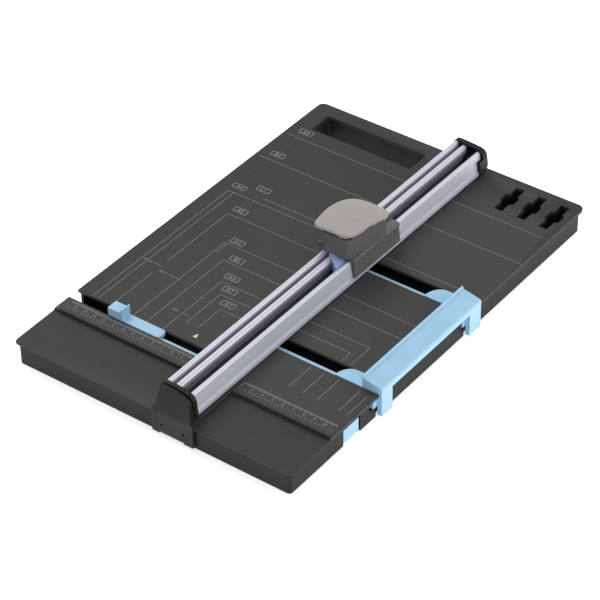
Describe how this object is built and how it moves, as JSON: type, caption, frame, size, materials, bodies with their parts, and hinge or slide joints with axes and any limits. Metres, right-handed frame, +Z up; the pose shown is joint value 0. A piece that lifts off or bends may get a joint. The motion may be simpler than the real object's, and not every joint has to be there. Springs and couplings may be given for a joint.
{
  "type": "rotary paper trimmer",
  "caption": "Desk rotary paper trimmer: flat board with a hinged aluminium rail, a sliding press head with a round blade, and linked paper guides that centre the sheet on the cut.",
  "frame": {"origin": "under the middle of the whole object, on the level its feet stand on", "axes": "+Y from the paper stop to the back of the board, along the cut; +X to the user's right; +Z up"},
  "size_m": [0.2796, 0.42, 0.0736],
  "materials": {
    "deck_plastic": "fine textured charcoal",
    "cover_plastic": "plain black moulding",
    "screw_steel": "zinc plated",
    "foot_rubber": "matt",
    "mat_plastic": "soft cutting strip",
    "guide_plastic": "satin light blue",
    "rail_aluminium": "satin drawn and anodised",
    "cap_plastic": "fine textured",
    "bracket_steel": "black",
    "grip_rubber": "clear grey grip strip",
    "pad_plastic": "soft-touch warm grey",
    "head_plastic": "fine textured mid grey",
    "cartridge_plastic": "satin lavender blue",
    "blade_steel": "ground"
  },
  "bodies": {
    "base": {"top_deck": "deck_plastic", "bottom_cover": "cover_plastic", "cover_screws": "screw_steel", "keeper_screws": "screw_steel", "rubber_feet": "foot_rubber", "cutting_mat": "mat_plastic", "front_keeper": "cover_plastic", "rear_keeper": "cover_plastic", "pinion_post": "screw_steel", "pinion_screw": "screw_steel", "hinge_bracket": "bracket_steel", "bracket_screws": "screw_steel"},
    "rail": {"rail_left": "rail_aluminium", "rail_right": "rail_aluminium", "front_end_cap": "cap_plastic", "rear_end_cap": "cap_plastic", "hinge_pin": "screw_steel", "grip_strips": "grip_rubber"},
    "carriage": {"head_body": "head_plastic", "head_pin": "screw_steel", "side_cover": "head_plastic", "glide_block": "cartridge_plastic", "press_springs": "screw_steel"},
    "press_head": {"palm_pad": "pad_plastic", "blade_cartridge": "cartridge_plastic", "cartridge_lid": "cartridge_plastic", "blade_axle": "screw_steel"},
    "cutting_blade": {"blade": "blade_steel"},
    "left_guide_body": {"left_guide": "guide_plastic"},
    "right_guide_body": {"right_guide": "guide_plastic"},
    "pinion_body": {"pinion": "guide_plastic"}
  },
  "joints": [
    {"name": "rail_hinge", "type": "hinge", "parent": "base", "child": "rail", "pos_m": [0.02335, 0.2005, 0.0322], "axis": [-1, 0, 0], "range_deg": [0, 35]},
    {"name": "carriage_slide", "type": "slide", "parent": "rail", "child": "carriage", "axis": [0, 1, 0], "range_m": [-0.188, 0.12]},
    {"name": "press_slide", "type": "slide", "parent": "carriage", "child": "press_head", "axis": [0, 0, -1], "range_m": [0, 0.0025], "stiffness_N_per_m": 400, "springref_m": -0.004, "deforming": ["press_springs"]},
    {"name": "blade_spin", "type": "hinge", "parent": "press_head", "child": "cutting_blade", "pos_m": [0.02335, 0.031, 0.041], "axis": [1, 0, 0], "continuous": true},
    {"name": "right_guide_slide", "type": "slide", "parent": "base", "child": "right_guide_body", "axis": [1, 0, 0], "range_m": [-0.055, 0.05]},
    {"name": "left_guide_slide", "type": "slide", "parent": "base", "child": "left_guide_body", "axis": [1, 0, 0], "range_m": [-0.0501, 0.0551]},
    {"name": "pinion_spin", "type": "hinge", "parent": "base", "child": "pinion_body", "pos_m": [0.02335, -0.117, 0.0142], "axis": [0, 0, 1], "range_deg": [-193, 212]}
  ],
  "couplings": [
    {"joint": "left_guide_slide", "follows": "right_guide_slide", "ratio": -1},
    {"joint": "pinion_spin", "follows": "right_guide_slide", "rad_per_m": -66.667}
  ]
}
